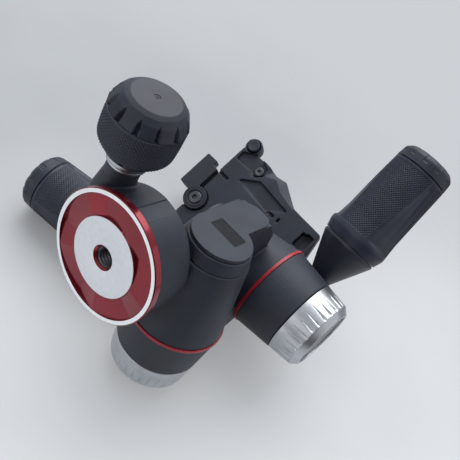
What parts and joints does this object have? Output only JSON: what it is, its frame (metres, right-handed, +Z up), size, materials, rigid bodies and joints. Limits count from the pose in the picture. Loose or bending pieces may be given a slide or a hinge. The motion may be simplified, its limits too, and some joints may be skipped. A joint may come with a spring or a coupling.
{
  "type": "three way pan tilt head",
  "caption": "Photo and film pan and tilt head with twist lever grips, a pan lock knob, tapered tilt barrels with friction knobs, a threaded base disc and a quick release camera plate.",
  "frame": {"origin": "centre of the base disc's mounting face, on the pan axis", "axes": "+Z up along the pan axis, away from the tripod; the front tilt axis runs along X, with its friction knob towards -X and the capped arm towards +X; the side tilt axis runs along Y, with its friction knob towards +Y; the pan lock knob points to +X"},
  "size_m": [0.1413, 0.1732, 0.1928],
  "materials": {
    "anodised_red": "glossy red anodised, with bright machined rim and boss",
    "spindle_steel": "turned",
    "black_casting": "fine-grained black paint on a die casting",
    "trim_red": "glossy",
    "silver_knob": "satin anodised",
    "knob_inlay": "satin grey",
    "black_plastic": "satin black",
    "black_rubber": "matt, fine diamond texture",
    "bearing_plastic": "natural",
    "bright_aluminium": "turned",
    "spring_steel": "oiled",
    "screw_steel": "black oxide",
    "brass_nut": "turned",
    "label_black": "bare field",
    "vial_clear": "clear yellow-green",
    "pad_rubber": "matt"
  },
  "bodies": {
    "base": {"base_disc": "anodised_red", "pan_spindle": "spindle_steel", "pan_retainer": "spindle_steel", "retainer_screws": "screw_steel"},
    "pan_turret": {"pan_housing": "black_casting", "pan_bush": "bearing_plastic", "pan_washer": "bearing_plastic", "pan_wedge": "brass_nut", "knob_collar": "bright_aluminium", "front_bushes": "bearing_plastic"},
    "pan_lock_knob": {"pan_knob_core": "black_plastic", "pan_knob_sleeve": "black_rubber", "pan_knob_stud": "spindle_steel"},
    "elbow": {"elbow_casting": "black_casting", "front_ring": "trim_red", "front_shaft": "bright_aluminium", "front_friction_washer": "bearing_plastic", "front_spring": "spring_steel", "side_cap": "black_plastic", "label_plate": "label_black", "side_bushes": "bearing_plastic"},
    "front_friction_knob": {"front_knob_shell": "silver_knob", "front_knob_disc": "knob_inlay", "front_friction_nut": "brass_nut"},
    "front_lever": {"front_lever_stud": "spindle_steel", "front_lever_hub": "black_plastic", "front_lever_tube": "bright_aluminium"},
    "front_grip": {"front_grip_core": "black_plastic", "front_grip_sleeve": "black_rubber", "front_grip_cap": "black_plastic"},
    "platform": {"platform_casting": "black_casting", "side_ring": "trim_red", "side_shaft": "bright_aluminium", "side_friction_washer": "bearing_plastic", "side_spring": "spring_steel", "rear_cap": "black_plastic", "jaw_screw": "screw_steel", "catch_screw": "screw_steel", "level_vial": "vial_clear"},
    "side_friction_knob": {"side_knob_shell": "silver_knob", "side_knob_disc": "knob_inlay", "side_friction_nut": "brass_nut"},
    "side_lever": {"side_lever_stud": "spindle_steel", "side_lever_hub": "black_plastic", "side_lever_tube": "bright_aluminium"},
    "side_grip": {"side_grip_core": "black_plastic", "side_grip_sleeve": "black_rubber", "side_grip_cap": "black_plastic"},
    "plate_catch": {"catch_lever": "black_casting"},
    "safety_button": {"safety_button": "black_plastic"},
    "quick_plate": {"camera_plate": "black_casting", "plate_pads": "pad_rubber"},
    "camera_screw": {"camera_screw": "bright_aluminium"}
  },
  "joints": [
    {"name": "pan", "type": "hinge", "parent": "base", "child": "pan_turret", "pos_m": [0, 0, 0], "axis": [0, 0, 1], "continuous": true},
    {"name": "pan_lock", "type": "hinge", "parent": "pan_turret", "child": "pan_lock_knob", "pos_m": [0.00187, -0.02142, 0.016], "axis": [0.9924, 0.0868, -0.0872], "range_deg": [0, 180]},
    {"name": "front_tilt", "type": "hinge", "parent": "pan_turret", "child": "elbow", "pos_m": [0, 0.0225, 0.0432], "axis": [-1, 0, 0], "range_deg": [-30, 90]},
    {"name": "front_friction", "type": "hinge", "parent": "elbow", "child": "front_friction_knob", "pos_m": [0, 0.0225, 0.0432], "axis": [-1, 0, 0], "range_deg": [-135, 135]},
    {"name": "front_lever_twist", "type": "hinge", "parent": "elbow", "child": "front_lever", "pos_m": [-0.04385, 0.01687, 0.06858], "axis": [0, -0.9763, -0.2164], "range_deg": [0, 180]},
    {"name": "front_grip_reach", "type": "slide", "parent": "front_lever", "child": "front_grip", "axis": [0, -0.9763, -0.2164], "range_m": [0, 0.04]},
    {"name": "side_tilt", "type": "hinge", "parent": "elbow", "child": "platform", "pos_m": [-0.0228, 0, 0.0974], "axis": [0, -1, 0], "range_deg": [-72, 48]},
    {"name": "side_friction", "type": "hinge", "parent": "platform", "child": "side_friction_knob", "pos_m": [-0.0228, 0, 0.0974], "axis": [0, 1, 0], "range_deg": [-135, 135]},
    {"name": "side_lever_twist", "type": "hinge", "parent": "platform", "child": "side_lever", "pos_m": [-0.0356, 0.0507, 0.12003], "axis": [0.8704, 0, 0.4924], "range_deg": [0, 180]},
    {"name": "side_grip_reach", "type": "slide", "parent": "side_lever", "child": "side_grip", "axis": [0.8704, 0, 0.4924], "range_m": [0, 0.04]},
    {"name": "catch_swing", "type": "hinge", "parent": "platform", "child": "plate_catch", "pos_m": [-0.03462, -0.039, 0.12174], "axis": [-0.6691, 0, 0.7431], "range_deg": [-60, 0], "stiffness_Nm_per_rad": 0.05, "springref_deg": 20.05},
    {"name": "button_press", "type": "slide", "parent": "platform", "child": "safety_button", "axis": [-0.6691, 0, 0.7431], "range_m": [0, 0.0015], "stiffness_N_per_m": 300, "springref_m": -0.002},
    {"name": "plate_lift", "type": "slide", "parent": "platform", "child": "quick_plate", "axis": [-0.6691, 0, 0.7431], "range_m": [0, 0.02]},
    {"name": "camera_screw_turn", "type": "hinge", "parent": "quick_plate", "child": "camera_screw", "pos_m": [-0.02593, -0.006, 0.13495], "axis": [-0.6691, 0, 0.7431], "continuous": true}
  ]
}
